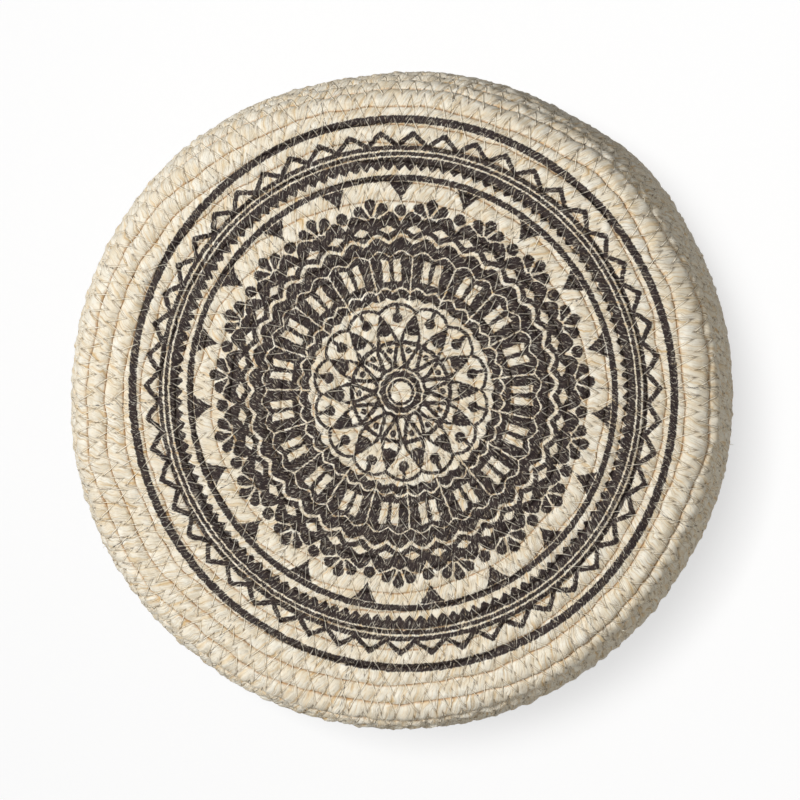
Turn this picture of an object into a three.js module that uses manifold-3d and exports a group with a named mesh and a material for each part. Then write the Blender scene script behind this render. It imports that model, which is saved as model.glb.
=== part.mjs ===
// A round rope-covered stool: one husk rope, wound and sewn row to row, covers a padded wooden drum
// on four feet. Lengths are in millimetres, +Z is up, and the origin is the middle of the footprint.

import * as THREE from 'three';
import { mergeVertices } from 'three/addons/utils/BufferGeometryUtils.js';
import Module from 'manifold-3d';

const wasm = await Module();
wasm.setup();

// Overall
const seatHeight = 300;
const bodyRadius = 199;

// Fits
const seatGap = 0.3;            // between pieces that rest on each other
const holeClearance = 0.3;      // around a shank, on the radius
const cutOverrun = 2;           // how far a cutting tool runs past the face it opens

// Rope: its centre line follows the outline below, one row further for each turn
const ropeRowPitch = 11;
const ropeThickness = 10.4;
const ropeFirstRow = 7.3;       // along the outline, where the winding starts
const ropeJoinGap = 0.6;        // between the seat rope's end and the wall rope's start
const joinBelowShoulder = 12;   // along the outline, where the seat rope ends and the wall rope starts
const stepsPerTurn = 24;
const innerTurns = 5;           // tight turns round the middle take half as many steps
const seatRopeSides = 5;
const wallRopeSides = 4;

// Outline of the rope's centre line, from the middle of the seat outwards and down
const shoulderRun = 13;
const bellyRun = 38;
const tuckTurnRun = 18;
const tuckRun = 8;
const seatSlope = THREE.MathUtils.degToRad(4);
const shoulderSlope = THREE.MathUtils.degToRad(62);
const bellySlope = THREE.MathUtils.degToRad(90);
const wallSlope = THREE.MathUtils.degToRad(97);
const tuckSlope = THREE.MathUtils.degToRad(180);

// Upholstery
const linerThickness = 1;
const seatPadDepth = 36;
const softSegments = 24;

// Wooden drum
const drumSegments = 36;
const wallPadThickness = 18;    // at the stool's widest row
const skinThickness = 3;
const seatBoardThickness = 12;
const hoopThickness = 12;
const hoopWidth = 60;
const baseRingThickness = 15;
const baseRingWidth = 70;
const postCount = 6;
const postSide = 28;
const footProud = 8;            // the rope's underside above the floor

// Underside cloths
const hemThickness = 0.8;
const hemWidth = 48;
const dustCoverThickness = 0.8;
const dustCoverMargin = 3;      // between its edge and the rope's last row

// Feet
const footCount = 4;
const footMargin = 7;           // between a foot and the dust cover's edge
const footSoleRadius = 17;
const footTopRadius = 21;
const footEdge = 1.5;
const footSegments = 20;
const footBoreRadius = 8;
const footBoreDepth = 7;

// Screws and tacks
const screwSides = 8;
const screwShankRadius = 2.2;
const screwHeadRadius = 4.4;
const screwHeadDepth = 2.6;
const screwLength = 45;
const screwTip = 4;
const footScrewRadius = 2.4;
const footScrewHeadRadius = 5;
const footScrewHeadDepth = 3;
const footScrewGrip = 9;        // how far it goes into the base ring
const tackSides = 6;
const tackShankRadius = 1;
const tackHeadRadius = 4;
const tackHeadDepth = 1;
const tackLength = 9;
const coverTackCount = 8;
const coverTackInset = 7;       // from the dust cover's edge
const skinTackHeightShare = 0.9;

// Finishes
const finish = {
  rope: { color: 0xe3d3ad, roughness: 0.75, metalness: 0 },
  liner: { color: 0xd8d2c2, roughness: 0.95, metalness: 0 },
  foam: { color: 0xe8dfb8, roughness: 0.95, metalness: 0 },
  wadding: { color: 0xcfc7b6, roughness: 1, metalness: 0 },
  plywood: { color: 0xc9a874, roughness: 0.7, metalness: 0 },
  batten: { color: 0xd2b27d, roughness: 0.75, metalness: 0 },
  hardboard: { color: 0x8a6443, roughness: 0.65, metalness: 0 },
  cloth: { color: 0x2b2b2d, roughness: 0.95, metalness: 0 },
  tape: { color: 0xd9cfb8, roughness: 0.95, metalness: 0 },
  plastic: { color: 0x242424, roughness: 0.5, metalness: 0 },
  zinc: { color: 0xb9bcc0, roughness: 0.35, metalness: 1 },
};

const fullTurn = 2 * Math.PI;
const ropeRadius = ropeThickness / 2;

// How far a bend of the outline reaches out, and how far it drops
const meanCos = (a, b) => (a === b ? Math.cos(a) : (Math.sin(b) - Math.sin(a)) / (b - a));
const meanSin = (a, b) => (a === b ? Math.sin(a) : (Math.cos(a) - Math.cos(b)) / (b - a));

const topLine = seatHeight - ropeRadius;
const underLine = footProud + ropeRadius;
const shoulderReach = shoulderRun * meanCos(seatSlope, shoulderSlope);
const bellyReach = bellyRun * meanCos(shoulderSlope, bellySlope);
const seatRun = (bodyRadius - ropeRadius - shoulderReach - bellyReach) / meanCos(0, seatSlope);
const bendsDrop = seatRun * meanSin(0, seatSlope)
  + shoulderRun * meanSin(seatSlope, shoulderSlope)
  + bellyRun * meanSin(shoulderSlope, bellySlope)
  + tuckTurnRun * meanSin(wallSlope, tuckSlope);
const wallRun = (topLine - underLine - bendsDrop) / meanSin(bellySlope, wallSlope);

const bends = [
  { run: seatRun, from: 0, to: seatSlope, rows: 1 },
  { run: shoulderRun, from: seatSlope, to: shoulderSlope, rows: 5 },
  { run: bellyRun, from: shoulderSlope, to: bellySlope, rows: 3 },
  { run: wallRun, from: bellySlope, to: wallSlope, rows: 3 },
  { run: tuckTurnRun, from: wallSlope, to: tuckSlope, rows: 3 },
  { run: tuckRun, from: tuckSlope, to: tuckSlope, rows: 1 },
];
const outlineLength = bends.reduce((sum, bend) => sum + bend.run, 0);

// A point on the rope's centre line: radius, height and slope at a distance along the outline
function outlineAt(distance) {
  let r = 0;
  let z = topLine;
  let left = distance;
  for (const [index, bend] of bends.entries()) {
    const last = index === bends.length - 1;
    const run = last ? left : Math.min(left, bend.run);
    const slope = bend.from + (bend.to - bend.from) * run / bend.run;
    r += run * meanCos(bend.from, slope);
    z -= run * meanSin(bend.from, slope);
    left -= run;
    if (left <= 0 || last) return { r, z, slope };
  }
  return null;
}

// A point at a depth under the rope's centre line, towards the inside of the stool
function insideAt(distance, depth) {
  const { r, z, slope } = outlineAt(distance);
  return new THREE.Vector2(r - depth * Math.sin(slope), z - depth * Math.cos(slope));
}

// The distance along the outline where the line at that depth comes down to a height
function distanceAtHeight(height, depth) {
  let low = 0;
  let high = outlineLength;
  for (let pass = 0; pass < 50; pass += 1) {
    const middle = (low + high) / 2;
    if (insideAt(middle, depth).y > height) low = middle;
    else high = middle;
  }
  return low;
}

// Makes one closed body of a geometry: shared corners, no empty triangles, faces out
function closed(geometry) {
  geometry.deleteAttribute('normal');
  geometry.deleteAttribute('uv');
  const merged = mergeVertices(geometry);
  const corners = merged.getAttribute('position');
  const index = merged.getIndex().array;
  const kept = [];
  const a = new THREE.Vector3();
  const b = new THREE.Vector3();
  const c = new THREE.Vector3();
  let volume = 0;
  for (let i = 0; i < index.length; i += 3) {
    const [p, q, s] = [index[i], index[i + 1], index[i + 2]];
    if (p === q || q === s || s === p) continue;
    kept.push(p, q, s);
    a.fromBufferAttribute(corners, p);
    b.fromBufferAttribute(corners, q);
    c.fromBufferAttribute(corners, s);
    volume += a.dot(b.cross(c));
  }
  if (volume < 0) kept.reverse();
  merged.setIndex(kept);
  return merged;
}

// Spins an outline of (radius, height) points round the upright axis
function spin(points, segments) {
  const loop = points[0].x === 0 ? points : [...points, points[0]];
  return closed(new THREE.LatheGeometry(loop, segments).rotateX(Math.PI / 2));
}

function ring(outerRadius, innerRadius, bottom, top, segments) {
  return spin([
    new THREE.Vector2(innerRadius, bottom),
    new THREE.Vector2(outerRadius, bottom),
    new THREE.Vector2(outerRadius, top),
    new THREE.Vector2(innerRadius, top),
  ], segments);
}

function disc(radius, bottom, top, segments) {
  return spin([
    new THREE.Vector2(0, bottom),
    new THREE.Vector2(radius, bottom),
    new THREE.Vector2(radius, top),
    new THREE.Vector2(0, top),
  ], segments);
}

function toSolid(geometry) {
  const vertProperties = new Float32Array(geometry.getAttribute('position').array);
  const triVerts = new Uint32Array(geometry.getIndex().array);
  return new wasm.Manifold(new wasm.Mesh({ numProp: 3, vertProperties, triVerts }));
}

function fromSolid(solid) {
  const mesh = solid.getMesh();
  const geometry = new THREE.BufferGeometry();
  geometry.setAttribute('position', new THREE.BufferAttribute(new Float32Array(mesh.vertProperties), 3));
  geometry.setIndex(new THREE.BufferAttribute(new Uint32Array(mesh.triVerts), 1));
  return geometry;
}

// Cuts tools out of a geometry
function cut(geometry, tools) {
  let solid = toSolid(geometry);
  for (const tool of tools) solid = solid.subtract(toSolid(tool));
  return fromSolid(solid);
}

// Copies a geometry round the upright axis
function around(count, radius, firstAngle, make) {
  return Array.from({ length: count }, (_, k) => {
    const angle = firstAngle + fullTurn * k / count;
    return make().translate(radius, 0, 0).rotateZ(angle);
  });
}

// Rope: a ring of corners at one place of the winding, numbered in steps from the first row
function ropeRing(step, sides) {
  const angle = fullTurn * step / stepsPerTurn;
  const { r, z, slope } = outlineAt(ropeFirstRow + ropeRowPitch * step / stepsPerTurn);
  return Array.from({ length: sides }, (_, k) => {
    const turn = fullTurn * k / sides;
    const out = ropeRadius * Math.cos(turn);
    const along = ropeRadius * Math.sin(turn);
    const reach = r + out * Math.sin(slope) + along * Math.cos(slope);
    const height = z + out * Math.cos(slope) - along * Math.sin(slope);
    return new THREE.Vector3(reach * Math.cos(angle), reach * Math.sin(angle), height);
  });
}

// A ring between two steps lies on the straight run between them, so an end is square to it
function ringBetween(step, sides) {
  const before = Math.floor(step);
  if (before === step) return ropeRing(step, sides);
  const first = ropeRing(before, sides);
  const second = ropeRing(before + 1, sides);
  return first.map((corner, k) => corner.clone().lerp(second[k], step - before));
}

function ropeSteps(start, end) {
  const steps = [start];
  for (let step = Math.floor(start) + 1; step < end; step += 1) {
    const tight = step < innerTurns * stepsPerTurn;
    if (!tight || step % 2 === 0) steps.push(step);
  }
  steps.push(end);
  return steps;
}

function rope(start, end, sides) {
  const rings = ropeSteps(start, end).map((step) => ringBetween(step, sides));
  const corners = rings.flat().flatMap((corner) => corner.toArray());
  const index = [];
  for (let i = 0; i + 1 < rings.length; i += 1) {
    for (let k = 0; k < sides; k += 1) {
      const next = (k + 1) % sides;
      const [a, b] = [i * sides + k, i * sides + next];
      index.push(a, b, b + sides, a, b + sides, a + sides);
    }
  }
  const lastRing = (rings.length - 1) * sides;
  for (let k = 1; k + 1 < sides; k += 1) {
    index.push(0, k + 1, k);
    index.push(lastRing, lastRing + k, lastRing + k + 1);
  }
  const geometry = new THREE.BufferGeometry();
  geometry.setAttribute('position', new THREE.Float32BufferAttribute(corners, 3));
  geometry.setIndex(index);
  return { geometry: closed(geometry), rings };
}

// The least distance between corners of the winding that lie half a turn or more apart
function leastGap(start, end, sides) {
  const steps = ropeSteps(start, end);
  const rings = steps.map((step) => ringBetween(step, sides));
  let least = Infinity;
  for (let i = 0; i < rings.length; i += 1) {
    for (let j = i + 1; j < rings.length; j += 1) {
      if (steps[j] - steps[i] < stepsPerTurn / 2) continue;
      for (const p of rings[i]) for (const q of rings[j]) least = Math.min(least, p.distanceTo(q));
    }
  }
  return least;
}

// Both ends of a rope lie half-way between two steps
const halfStepAt = (distance) => Math.floor((distance - ropeFirstRow) / ropeRowPitch * stepsPerTurn) - 0.5;
const lastStep = halfStepAt(outlineLength);
const joinStep = halfStepAt(seatRun + shoulderRun + joinBelowShoulder);
const joinDistance = ropeFirstRow + ropeRowPitch * joinStep / stepsPerTurn;
const joinHalfStep = ropeJoinGap / 2 / (outlineAt(joinDistance).r * fullTurn / stepsPerTurn);

function seatRope() {
  const end = joinStep - joinHalfStep;
  console.log('seat rope, least gap to itself:', leastGap(0, end, seatRopeSides).toFixed(2), 'mm');
  return rope(0, end, seatRopeSides).geometry;
}

function wallRope() {
  const start = joinStep + joinHalfStep;
  console.log('wall rope, least gap to itself:', leastGap(start, lastStep, wallRopeSides).toFixed(2), 'mm');
  return rope(start, lastStep, wallRopeSides).geometry;
}

// Heights, from the floor up
const hemBottom = underLine + ropeRadius + seatGap;
const hemTop = hemBottom + hemThickness;
const dustCoverTop = hemBottom - seatGap;
const dustCoverBottom = dustCoverTop - dustCoverThickness;
const baseRingBottom = hemTop + seatGap;
const baseRingTop = baseRingBottom + baseRingThickness;
const footTop = dustCoverBottom - seatGap;
const seatRopeUnder = ropeRadius * Math.cos(Math.PI / seatRopeSides);
const linerDepth = seatRopeUnder + seatGap;
const seatPadTopDepth = linerDepth + linerThickness + seatGap;
const seatPadBottom = topLine - seatPadTopDepth - seatPadDepth;
const seatBoardTop = seatPadBottom - seatGap;
const seatBoardBottom = seatBoardTop - seatBoardThickness;
const postBottom = baseRingTop + seatGap;
const postTop = seatBoardBottom - seatGap;
const hoopBottom = (postBottom + postTop - hoopThickness) / 2;

// Radii of the drum and the underside
const frameRadius = bodyRadius - ropeThickness - wallPadThickness - skinThickness - 3 * seatGap;
const hoopInnerRadius = frameRadius - hoopWidth;
const baseRingInnerRadius = frameRadius - baseRingWidth;
const hemInnerRadius = frameRadius - hemWidth;
const dustCoverRadius = outlineAt(outlineLength).r - ropeRadius - dustCoverMargin;
const coverTackRadius = dustCoverRadius - coverTackInset;
const footCircleRadius = dustCoverRadius - footMargin - footTopRadius;
const skinInnerRadius = (frameRadius + seatGap) / Math.cos(Math.PI / drumSegments);
const skinOuterRadius = skinInnerRadius + skinThickness;
const wallPadInnerRadius = (skinOuterRadius + seatGap) / Math.cos(Math.PI / softSegments);
const wallPadDepth = ropeRadius + seatGap;
const postOuterFace = Math.sqrt(frameRadius ** 2 - (postSide / 2) ** 2) - seatGap;
const postCircleRadius = postOuterFace - postSide / 2;
const postAngle = Math.PI / postCount;
const footAngle = Math.PI / footCount;
const coverTackAngle = Math.PI / coverTackCount;

// Points of a line under the rope, between two distances along the outline, with the rows of each bend
function insideLine(from, to, depth) {
  const rows = [from];
  let start = 0;
  for (const bend of bends) {
    for (let k = 0; k < bend.rows; k += 1) {
      const row = start + bend.run * k / bend.rows;
      if (row > from && row < to) rows.push(row);
    }
    start += bend.run;
  }
  rows.push(to);
  return rows.map((row) => insideAt(row, depth));
}

// The liner stops short of the wall rope's first row
function seatLiner() {
  const end = Math.min(
    distanceAtHeight(seatPadBottom, linerDepth + linerThickness),
    joinDistance - ropeRadius - seatGap,
  );
  const outer = insideLine(0, end, linerDepth);
  const inner = insideLine(0, end, linerDepth + linerThickness).reverse();
  return spin([...outer, ...inner], softSegments);
}

function seatPad() {
  const end = distanceAtHeight(seatPadBottom, seatPadTopDepth);
  const crown = insideLine(0, end, seatPadTopDepth);
  const edge = crown[crown.length - 1];
  return spin([...crown, new THREE.Vector2(0, edge.y)], softSegments);
}

function wallPad() {
  const from = distanceAtHeight(seatPadBottom - seatGap, wallPadDepth);
  const to = distanceAtHeight(baseRingBottom, wallPadDepth);
  const outer = insideLine(from, to, wallPadDepth);
  const top = outer[0].y;
  const bottom = outer[outer.length - 1].y;
  return spin([
    new THREE.Vector2(wallPadInnerRadius, bottom),
    new THREE.Vector2(wallPadInnerRadius, top),
    ...outer,
  ], softSegments);
}

// Screws: head up, with the head's top face at height zero
function screw(headRadius, headDepth, shankRadius, length) {
  return spin([
    new THREE.Vector2(0, 0),
    new THREE.Vector2(headRadius, 0),
    new THREE.Vector2(shankRadius, -headDepth),
    new THREE.Vector2(shankRadius, screwTip - length),
    new THREE.Vector2(0, -length),
  ], screwSides);
}

const woodScrew = () => screw(screwHeadRadius, screwHeadDepth, screwShankRadius, screwLength);

// The hole that a screw fills, a clearance wider all round and open at its head
function screwHole() {
  const wide = screwHeadRadius + holeClearance;
  const narrow = screwShankRadius + holeClearance;
  return spin([
    new THREE.Vector2(0, cutOverrun),
    new THREE.Vector2(wide, cutOverrun),
    new THREE.Vector2(wide, 0),
    new THREE.Vector2(narrow, -screwHeadDepth - holeClearance),
    new THREE.Vector2(narrow, -screwLength - holeClearance),
    new THREE.Vector2(0, -screwLength - holeClearance),
  ], screwSides);
}

// Tacks: head down, with the head's upper face at height zero
function tack() {
  return spin([
    new THREE.Vector2(0, -tackHeadDepth),
    new THREE.Vector2(tackHeadRadius, -tackHeadDepth),
    new THREE.Vector2(tackHeadRadius, 0),
    new THREE.Vector2(tackShankRadius, 0),
    new THREE.Vector2(tackShankRadius, tackLength - tackShankRadius),
    new THREE.Vector2(0, tackLength),
  ], tackSides);
}

function tackHole() {
  return disc(tackShankRadius + holeClearance, -cutOverrun, tackLength + holeClearance, tackSides);
}

// A copy of a tool or piece for each seat board screw, base ring screw, foot screw and tack
const topScrews = (make) => around(postCount, postCircleRadius, postAngle,
  () => make().translate(0, 0, seatBoardTop));
const baseScrews = (make) => around(postCount, postCircleRadius, postAngle,
  () => make().rotateX(Math.PI).translate(0, 0, baseRingBottom));
const coverTacks = (make) => around(coverTackCount, coverTackRadius, coverTackAngle,
  () => make().translate(0, 0, dustCoverBottom - seatGap));

// Side tacks point inwards through the drum's skin into the posts
const skinTackHeight = postBottom + (postTop - postBottom) * skinTackHeightShare;
const skinTackHead = skinOuterRadius * Math.cos(Math.PI / drumSegments) - tackHeadDepth;
const skinFlat = skinOuterRadius + cutOverrun;

function skinTacks(make) {
  return around(postCount, 0, postAngle,
    () => make().rotateY(-Math.PI / 2).translate(skinTackHead, 0, skinTackHeight));
}

// The tack's head lies sunk in the skin
function skinTackSink() {
  return disc(tackHeadRadius + holeClearance, skinTackHead - skinFlat, holeClearance, tackSides);
}

const footScrewLength = footTop - footBoreDepth + seatGap + dustCoverThickness + seatGap
  + hemThickness + seatGap + footScrewGrip;

function footScrew() {
  const shoulder = footBoreDepth - seatGap;
  return spin([
    new THREE.Vector2(0, shoulder - footScrewHeadDepth),
    new THREE.Vector2(footScrewHeadRadius, shoulder - footScrewHeadDepth),
    new THREE.Vector2(footScrewHeadRadius, shoulder),
    new THREE.Vector2(footScrewRadius, shoulder),
    new THREE.Vector2(footScrewRadius, shoulder + footScrewLength - screwTip),
    new THREE.Vector2(0, shoulder + footScrewLength),
  ], screwSides);
}

function footScrewHole() {
  const top = footBoreDepth + footScrewLength;
  return disc(footScrewRadius + holeClearance, -cutOverrun, top, screwSides);
}

const footScrews = (make) => around(footCount, footCircleRadius, footAngle, make);

function seatBoard() {
  return cut(disc(frameRadius, seatBoardBottom, seatBoardTop, drumSegments), topScrews(screwHole));
}

function baseRing() {
  const blank = ring(frameRadius, baseRingInnerRadius, baseRingBottom, baseRingTop, drumSegments);
  return cut(blank, [...baseScrews(screwHole), ...footScrews(footScrewHole), ...coverTacks(tackHole)]);
}

function postBlank(side, bottom, top) {
  const box = closed(new THREE.BoxGeometry(side, side, top - bottom));
  return box.translate(0, 0, (bottom + top) / 2);
}

function post(angle) {
  const blank = postBlank(postSide, postBottom, postTop).translate(postCircleRadius, 0, 0).rotateZ(angle);
  const tools = [...topScrews(screwHole), ...baseScrews(screwHole), ...skinTacks(tackHole)];
  return cut(blank, tools);
}

// The middle hoop is notched from its rim, so that each post lies in a notch
function middleHoop() {
  const blank = ring(frameRadius, hoopInnerRadius, hoopBottom, hoopBottom + hoopThickness, drumSegments);
  const notchSide = postSide + 2 * seatGap;
  const notchReach = postSide + seatGap + cutOverrun + frameRadius - postOuterFace;
  const notch = () => closed(new THREE.BoxGeometry(notchReach, notchSide, hoopThickness + 2 * cutOverrun))
    .translate(notchReach / 2 + postOuterFace - postSide - seatGap, 0, hoopBottom + hoopThickness / 2);
  return cut(blank, around(postCount, 0, postAngle, notch));
}

function drumSkin() {
  const blank = ring(skinOuterRadius, skinInnerRadius, baseRingBottom, seatBoardTop, drumSegments);
  return cut(blank, [...skinTacks(tackHole), ...skinTacks(skinTackSink)]);
}

function hemTape() {
  const blank = ring(frameRadius, hemInnerRadius, hemBottom, hemTop, drumSegments);
  return cut(blank, [...footScrews(footScrewHole), ...coverTacks(tackHole)]);
}

function dustCover() {
  const blank = disc(dustCoverRadius, dustCoverBottom, dustCoverTop, drumSegments);
  return cut(blank, [...footScrews(footScrewHole), ...coverTacks(tackHole)]);
}

function foot() {
  return spin([
    new THREE.Vector2(footBoreRadius, 0),
    new THREE.Vector2(footSoleRadius - footEdge, 0),
    new THREE.Vector2(footSoleRadius, footEdge),
    new THREE.Vector2(footTopRadius, footTop),
    new THREE.Vector2(footScrewRadius + holeClearance, footTop),
    new THREE.Vector2(footScrewRadius + holeClearance, footBoreDepth),
    new THREE.Vector2(footBoreRadius, footBoreDepth),
  ], footSegments);
}

const stool = new THREE.Group();

function add(name, geometry, look) {
  const piece = new THREE.Mesh(geometry, new THREE.MeshStandardMaterial(look));
  piece.name = name;
  stool.add(piece);
  return piece;
}

function addEach(name, geometries, look) {
  for (const [k, geometry] of geometries.entries()) add(`${name}_${k + 1}`, geometry, look);
}

add('seat_rope', seatRope(), finish.rope);
add('wall_rope', wallRope(), finish.rope);
add('seat_liner', seatLiner(), finish.liner);
add('seat_pad', seatPad(), finish.foam);
add('wall_pad', wallPad(), finish.wadding);
add('seat_board', seatBoard(), finish.plywood);
add('middle_hoop', middleHoop(), finish.plywood);
add('base_ring', baseRing(), finish.plywood);
add('drum_skin', drumSkin(), finish.hardboard);
for (let k = 0; k < postCount; k += 1) {
  add(`post_${k + 1}`, post(postAngle + fullTurn * k / postCount), finish.batten);
}
addEach('seat_board_screw', topScrews(woodScrew), finish.zinc);
addEach('base_ring_screw', baseScrews(woodScrew), finish.zinc);
addEach('skin_tack', skinTacks(tack), finish.zinc);
add('hem_tape', hemTape(), finish.tape);
add('dust_cover', dustCover(), finish.cloth);
addEach('cover_tack', coverTacks(tack), finish.zinc);
for (let k = 0; k < footCount; k += 1) {
  const piece = add(`foot_${k + 1}`, foot(), finish.plastic);
  const angle = footAngle + fullTurn * k / footCount;
  piece.position.set(footCircleRadius * Math.cos(angle), footCircleRadius * Math.sin(angle), 0);
}
addEach('foot_screw', footScrews(footScrew), finish.zinc);

export default stool;
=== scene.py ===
# %% [markdown]
# # A round rope-covered stool, seen from above
#
# The stool is one husk rope, wound from the middle of the seat to the edge, down the side and in under it,
# and sewn row to row with a zigzag stitch. It covers a padded drum of wood on four small feet. The CAD model
# has every solid piece. This file dresses it: the rope with its husk, stitches and print, the padding and
# cloths under it, and a finish for every wooden, plastic and metal piece.
#
# All lengths in the making are millimetres, and one helper turns them into Blender's metres.

# %% The CAD model
import math

import bpy
import numpy as np
from mathutils import Matrix, Vector


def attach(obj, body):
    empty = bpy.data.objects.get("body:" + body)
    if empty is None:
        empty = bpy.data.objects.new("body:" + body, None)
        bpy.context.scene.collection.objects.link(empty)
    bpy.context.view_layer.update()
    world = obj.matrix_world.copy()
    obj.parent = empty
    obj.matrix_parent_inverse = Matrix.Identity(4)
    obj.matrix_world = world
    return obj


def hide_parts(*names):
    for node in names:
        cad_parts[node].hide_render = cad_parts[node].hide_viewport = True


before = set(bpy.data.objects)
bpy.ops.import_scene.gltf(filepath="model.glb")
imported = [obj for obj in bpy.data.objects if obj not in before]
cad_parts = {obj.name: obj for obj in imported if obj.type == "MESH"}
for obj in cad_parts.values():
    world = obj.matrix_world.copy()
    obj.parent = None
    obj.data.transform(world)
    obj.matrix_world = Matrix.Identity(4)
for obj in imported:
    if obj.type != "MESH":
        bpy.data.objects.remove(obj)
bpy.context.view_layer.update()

# %% [markdown]
# ## Camera
#
# The photograph looks down at the seat from about 1.5 m, tilted 11 degrees away from straight down. The
# camera looks along that line with a long lens. It is moved a few millimetres sideways, with the point it
# looks at, so that the stool stands where it does in the photograph's frame.

# %% Camera
CAMERA_DISTANCE = 1.5
CAMERA_AZIMUTH = math.radians(113)
CAMERA_ELEVATION = math.radians(79)
FOCAL_LENGTH_PIXELS = 2528.4
FRAME_PIXELS = 800
AIM_HEIGHT = 0.270
AIM_OFFSET_PIXELS = (11.1, 2.7)

to_camera = np.array([
    math.sin(CAMERA_AZIMUTH) * math.cos(CAMERA_ELEVATION),
    -math.cos(CAMERA_AZIMUTH) * math.cos(CAMERA_ELEVATION),
    math.sin(CAMERA_ELEVATION),
])
camera_up = np.array([0, 1, 0]) - to_camera[1] * to_camera
camera_up = camera_up / np.linalg.norm(camera_up)
camera_right = np.cross(camera_up, to_camera)
metres_per_pixel = CAMERA_DISTANCE / FOCAL_LENGTH_PIXELS
aim = np.array([0, 0, AIM_HEIGHT]) + metres_per_pixel * (
    AIM_OFFSET_PIXELS[0] * camera_right + AIM_OFFSET_PIXELS[1] * camera_up)

camera_data = bpy.data.cameras.new("camera")
camera_data.sensor_width = 36
camera_data.lens = 36 * FOCAL_LENGTH_PIXELS / FRAME_PIXELS
camera = bpy.data.objects.new("camera", camera_data)
turn = np.array([camera_right, camera_up, to_camera]).T
placed = np.eye(4)
placed[:3, :3] = turn
placed[:3, 3] = aim + CAMERA_DISTANCE * to_camera
camera.matrix_world = Matrix(placed.tolist())
bpy.context.scene.collection.objects.link(camera)
bpy.context.scene.camera = camera
print("camera at", np.round(placed[:3, 3], 3).tolist(), "lens", round(camera_data.lens, 1), "mm")

# %% [markdown]
# ## The outline
#
# Cut the stool through its middle and the rope's centre line makes one curve: nearly flat over the seat,
# round the shoulder, down the slightly full side, and in under the edge. Each stretch bends evenly from one
# slope to the next. These are the sizes of the CAD model, so the rope lies where the model has it.

# %% Outline
SEAT_HEIGHT = 300
BODY_RADIUS = 199
FOOT_PROUD = 8
ROW_PITCH = 11
ROPE_THICKNESS = 10.4
FIRST_ROW = 7.3
STEPS_PER_TURN = 24
JOIN_BELOW_SHOULDER = 12
SHOULDER_RUN = 13
BELLY_RUN = 38
TUCK_TURN_RUN = 18
TUCK_RUN = 8
SEAT_SLOPE, SHOULDER_SLOPE, BELLY_SLOPE, WALL_SLOPE, TUCK_SLOPE = np.radians([4, 62, 90, 97, 180])
ROPE_RADIUS = ROPE_THICKNESS / 2
HALF_ROW = ROW_PITCH / 2
FULL_TURN = 2 * math.pi


def mean_cos(a, b):
    """The mean cosine over a stretch whose slope goes evenly from a to b."""
    even = np.isclose(a, b)
    return np.where(even, np.cos(a), (np.sin(b) - np.sin(a)) / np.where(even, 1, b - a))


def mean_sin(a, b):
    even = np.isclose(a, b)
    return np.where(even, np.sin(a), (np.cos(a) - np.cos(b)) / np.where(even, 1, b - a))


top_line = SEAT_HEIGHT - ROPE_RADIUS
under_line = FOOT_PROUD + ROPE_RADIUS
shoulder_reach = SHOULDER_RUN * mean_cos(SEAT_SLOPE, SHOULDER_SLOPE)
belly_reach = BELLY_RUN * mean_cos(SHOULDER_SLOPE, BELLY_SLOPE)
seat_run = (BODY_RADIUS - ROPE_RADIUS - shoulder_reach - belly_reach) / mean_cos(0, SEAT_SLOPE)
drop = (seat_run * mean_sin(0, SEAT_SLOPE)
        + SHOULDER_RUN * mean_sin(SEAT_SLOPE, SHOULDER_SLOPE)
        + BELLY_RUN * mean_sin(SHOULDER_SLOPE, BELLY_SLOPE)
        + TUCK_TURN_RUN * mean_sin(WALL_SLOPE, TUCK_SLOPE))
wall_run = (top_line - under_line - drop) / mean_sin(BELLY_SLOPE, WALL_SLOPE)

bend_run = np.array([seat_run, SHOULDER_RUN, BELLY_RUN, wall_run, TUCK_TURN_RUN, TUCK_RUN], float)
bend_from = np.array([0, SEAT_SLOPE, SHOULDER_SLOPE, BELLY_SLOPE, WALL_SLOPE, TUCK_SLOPE])
bend_to = np.array([SEAT_SLOPE, SHOULDER_SLOPE, BELLY_SLOPE, WALL_SLOPE, TUCK_SLOPE, TUCK_SLOPE])
bend_start = np.concatenate([[0], np.cumsum(bend_run)[:-1]])
bend_radius = np.concatenate([[0], np.cumsum(bend_run * mean_cos(bend_from, bend_to))[:-1]])
bend_height = top_line - np.concatenate([[0], np.cumsum(bend_run * mean_sin(bend_from, bend_to))[:-1]])
outline_length = bend_run.sum()


def outline(distance):
    """Radius, height and slope of the rope's centre line, at distances along the outline."""
    bend = np.clip(np.searchsorted(bend_start, distance, side="right") - 1, 0, len(bend_run) - 1)
    run = distance - bend_start[bend]
    slope = bend_from[bend] + (bend_to - bend_from)[bend] * run / bend_run[bend]
    radius = bend_radius[bend] + run * mean_cos(bend_from[bend], slope)
    height = bend_height[bend] - run * mean_sin(bend_from[bend], slope)
    return radius, height, slope


print("outline", round(float(outline_length), 1), "mm, seat part", round(float(seat_run), 1))

# %% [markdown]
# ## The winding
#
# Along the rope, the turn angle grows anticlockwise from +X and each full turn moves one row outwards. A
# row lies between the seam to the row inside it and the seam to the row outside it. In the middle of the
# seat the rope thins out to nothing.
#
# Nobody sews rows perfectly even, so the seams wander by a millimetre or two, and the coil is not quite
# round: at the lower left its outer rows lie a whole row further in. The wander depends only on the place
# on the stool, so two neighbouring rows always share their seam. The padded rim is not quite round either,
# and its shoulder is fuller on the right.

# %% Rows
WAVE_SEED = 20


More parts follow.
